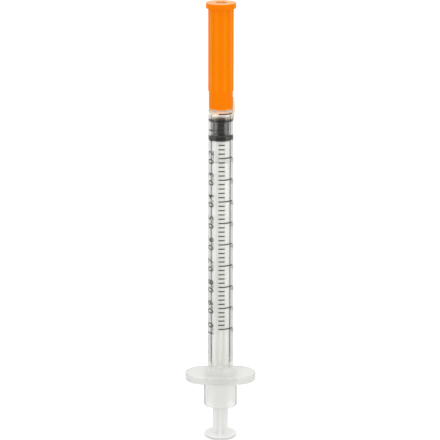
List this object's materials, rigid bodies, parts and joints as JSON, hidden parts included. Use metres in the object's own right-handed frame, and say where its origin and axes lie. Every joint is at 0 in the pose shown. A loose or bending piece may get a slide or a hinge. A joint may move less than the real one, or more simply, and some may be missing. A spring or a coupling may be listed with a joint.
{
  "type": "insulin syringe",
  "caption": "Slim fixed-needle syringe with a clear graduated barrel, finger flange, cross-ribbed plunger rod with rubber stopper, and a push-on fluted needle shield.",
  "frame": {"origin": "centre of the thumb rest's underside, with the stopper drawn 1.5 mm from the end of the bore", "axes": "+Z along the syringe's axis from the thumb rest to the needle's point; X along the long way of the finger flange; -Y towards the viewer of the picture"},
  "size_m": [0.018, 0.0094, 0.1129],
  "materials": {
    "clear_barrel": "clear moulded polypropylene, polished bore, slightly hazy flange and collar",
    "needle_steel": "drawn stainless tube, ground lancet point, silicone film",
    "cured_glue": "clear cured resin",
    "orange_shield": "orange moulded polyethylene, satin sheen",
    "stopper_rubber": "black moulded elastomer with a film of silicone oil",
    "milky_rod": "milky natural polypropylene",
    "scale_ink": "black printing ink on the outside of the barrel"
  },
  "bodies": {
    "barrel": {"barrel": "clear_barrel", "cannula": "needle_steel", "needle_adhesive": "cured_glue"},
    "plunger": {"plunger_rod": "milky_rod", "plunger_stopper": "stopper_rubber"},
    "shield": {"needle_shield": "orange_shield"}
  },
  "joints": [
    {"name": "plunger_slide", "type": "slide", "parent": "barrel", "child": "plunger", "axis": [0, 0, 1], "range_m": [-0.05645, 0.00145]},
    {"name": "shield_pull", "type": "slide", "parent": "barrel", "child": "shield", "axis": [0, 0, 1], "range_m": [0, 0.045]}
  ]
}
